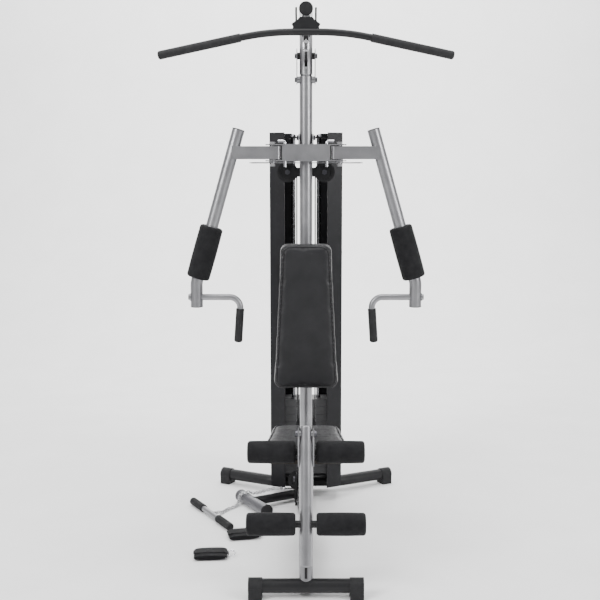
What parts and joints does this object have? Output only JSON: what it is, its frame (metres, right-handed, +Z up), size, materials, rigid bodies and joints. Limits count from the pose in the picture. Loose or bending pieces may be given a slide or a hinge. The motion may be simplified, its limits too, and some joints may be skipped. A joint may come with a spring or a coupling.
{
  "type": "multi station home gym",
  "caption": "Single-stack home gym with a press and fly arm station, a high lat bar, a leg developer, a padded seat and backrest, and loose row bar and ankle straps",
  "frame": {"origin": "middle of the footprint on the floor", "axes": "+Z up, -Y towards the front stabiliser and the leg rollers, +Y towards the weight stack, +X to the right seen from the front"},
  "size_m": [1.0632, 1.4084, 2.0635],
  "materials": {
    "silver_paint": "satin",
    "black_paint": "satin",
    "chrome": "polished",
    "steel": "satin",
    "cast_iron": "matte",
    "vinyl": "satin",
    "foam": "matte",
    "grip_rubber": "matte",
    "black_plastic": "matte",
    "cable_jacket": "glossy",
    "board": "matte",
    "webbing": "matte"
  },
  "bodies": {
    "frame": {"front_stabilizer": "black_paint", "rear_stabilizer": "black_paint", "end_caps": "black_plastic", "beams": "black_paint", "front_post": "silver_paint", "mast": "silver_paint", "boom": "silver_paint", "top_frame": "black_paint", "guide_rods": "chrome", "shroud": "black_paint", "resting_plates": "cast_iron", "seat_pad": "vinyl", "pad_boards": "board", "backrest_pad": "vinyl", "upper_roller_axle": "steel", "foot_bar": "silver_paint", "frame_bolts": "steel", "high_cable": "cable_jacket", "low_cables": "cable_jacket", "fly_cable": "cable_jacket", "base_pulleys": "black_plastic", "lat_snap_hook": "chrome"},
    "press": {"press_frame": "silver_paint", "arm_pivot_bolts": "steel"},
    "left_arm_body": {"left_arm": "silver_paint", "left_cam": "silver_paint", "left_arm_foam": "foam", "left_handle": "silver_paint", "left_handle_grip": "grip_rubber"},
    "right_arm_body": {"right_arm": "silver_paint", "right_cam": "silver_paint", "right_arm_foam": "foam", "right_handle": "silver_paint", "right_handle_grip": "grip_rubber"},
    "left_pin_body": {"left_lock_pin": "chrome"},
    "right_pin_body": {"right_lock_pin": "chrome"},
    "leg": {"leg_lever": "silver_paint", "lower_roller_axle": "steel"},
    "upper_roller_body": {"upper_rollers": "foam"},
    "lower_roller_body": {"lower_rollers": "foam"},
    "weights": {"top_plate": "black_paint", "lifted_plates": "cast_iron"},
    "selector": {"selector_pin": "black_plastic"},
    "floating": {"floating_block": "steel"},
    "floating_pulley_body": {"floating_pulley": "black_plastic"},
    "stack_block_body": {"stack_block": "steel"},
    "stack_block_pulley_body": {"stack_block_pulley": "black_plastic"},
    "lat_bar_body": {"lat_bar": "black_paint", "lat_bar_grips": "grip_rubber"},
    "row_handle": {"row_bar": "chrome", "row_bar_grips": "grip_rubber", "chain": "chrome"},
    "left_strap_body": {"left_ankle_strap": "webbing"},
    "right_strap_body": {"right_ankle_strap": "webbing"},
    "boom_pulley_body": {"boom_pulley": "black_plastic"},
    "top_front_pulley_body": {"top_front_pulley": "black_plastic"},
    "top_rear_pulley_body": {"top_rear_pulley": "black_plastic"},
    "left_fly_pulley_body": {"left_fly_pulley": "black_plastic"},
    "right_fly_pulley_body": {"right_fly_pulley": "black_plastic"},
    "low_pulley_body": {"low_pulley": "black_plastic"}
  },
  "joints": [
    {"name": "press_swing", "type": "hinge", "parent": "frame", "child": "press", "pos_m": [0, 0.067, 1.589], "axis": [-1, 0, 0], "range_deg": [0, 45]},
    {"name": "left_fly", "type": "hinge", "parent": "press", "child": "left_arm_body", "pos_m": [-0.131, 0.01, 1.53], "axis": [0, 0, 1], "range_deg": [0, 80]},
    {"name": "right_fly", "type": "hinge", "parent": "press", "child": "right_arm_body", "pos_m": [0.131, 0.01, 1.53], "axis": [0, 0, -1], "range_deg": [0, 80]},
    {"name": "left_pin_slide", "type": "slide", "parent": "press", "child": "left_pin_body", "axis": [0, 0, 1], "range_m": [0, 0.06]},
    {"name": "right_pin_slide", "type": "slide", "parent": "press", "child": "right_pin_body", "axis": [0, 0, 1], "range_m": [0, 0.06]},
    {"name": "leg_swing", "type": "hinge", "parent": "frame", "child": "leg", "pos_m": [0, -0.57, 0.559], "axis": [-1, 0, 0], "range_deg": [0, 85]},
    {"name": "upper_roller_spin", "type": "hinge", "parent": "frame", "child": "upper_roller_body", "pos_m": [0, -0.537, 0.485], "axis": [1, 0, 0], "continuous": true},
    {"name": "lower_roller_spin", "type": "hinge", "parent": "leg", "child": "lower_roller_body", "pos_m": [0, -0.6468, 0.26], "axis": [1, 0, 0], "continuous": true},
    {"name": "weight_lift", "type": "slide", "parent": "frame", "child": "weights", "axis": [0, 0, 1], "range_m": [0, 0.4], "deforming": ["high_cable"]},
    {"name": "selector_pull", "type": "slide", "parent": "weights", "child": "selector", "axis": [0, -1, 0], "range_m": [0, 0.09]},
    {"name": "floating_lift", "type": "slide", "parent": "frame", "child": "floating", "axis": [0, 0, 1], "range_m": [0, 0.2], "deforming": ["fly_cable"]},
    {"name": "floating_pulley_spin", "type": "hinge", "parent": "floating", "child": "floating_pulley_body", "pos_m": [0, 0.1198, 0.42], "axis": [0, 1, 0], "continuous": true},
    {"name": "stack_block_drop", "type": "slide", "parent": "frame", "child": "stack_block_body", "axis": [0, 0, -1], "range_m": [0, 0.2], "deforming": ["low_cables"]},
    {"name": "stack_block_pulley_spin", "type": "hinge", "parent": "stack_block_body", "child": "stack_block_pulley_body", "pos_m": [0, 0.2838, 1.18], "axis": [1, 0, 0], "continuous": true},
    {"name": "lat_bar_lift", "type": "slide", "parent": "frame", "child": "lat_bar_body", "axis": [0, -0.4568, 0.8896], "range_m": [0, 0.08]},
    {"name": "row_handle_lift", "type": "slide", "parent": "frame", "child": "row_handle", "axis": [0, 0, 1], "range_m": [0, 0.05]},
    {"name": "left_strap_lift", "type": "slide", "parent": "frame", "child": "left_strap_body", "axis": [0, 0, 1], "range_m": [0, 0.1]},
    {"name": "right_strap_lift", "type": "slide", "parent": "frame", "child": "right_strap_body", "axis": [0, 0, 1], "range_m": [0, 0.1]},
    {"name": "boom_pulley_spin", "type": "hinge", "parent": "frame", "child": "boom_pulley_body", "pos_m": [0, -0.212, 1.964], "axis": [1, 0, 0], "continuous": true},
    {"name": "top_front_pulley_spin", "type": "hinge", "parent": "frame", "child": "top_front_pulley_body", "pos_m": [0, 0.2098, 1.757], "axis": [1, 0, 0], "continuous": true},
    {"name": "top_rear_pulley_spin", "type": "hinge", "parent": "frame", "child": "top_rear_pulley_body", "pos_m": [0, 0.455, 1.69], "axis": [1, 0, 0], "continuous": true},
    {"name": "left_fly_pulley_spin", "type": "hinge", "parent": "frame", "child": "left_fly_pulley_body", "pos_m": [-0.074, 0.1198, 1.454], "axis": [0, 1, 0], "continuous": true},
    {"name": "right_fly_pulley_spin", "type": "hinge", "parent": "frame", "child": "right_fly_pulley_body", "pos_m": [0.074, 0.1198, 1.454], "axis": [0, 1, 0], "continuous": true},
    {"name": "low_pulley_spin", "type": "hinge", "parent": "frame", "child": "low_pulley_body", "pos_m": [-0.037, 0.308, 0.122], "axis": [0, 1, 0], "continuous": true}
  ],
  "couplings": [
    {"joint": "weight_lift", "follows": "press_swing", "m_per_rad": 0.509},
    {"joint": "floating_lift", "follows": "press_swing", "m_per_rad": 0.2546},
    {"joint": "stack_block_drop", "follows": "press_swing", "m_per_rad": 0.2546}
  ]
}
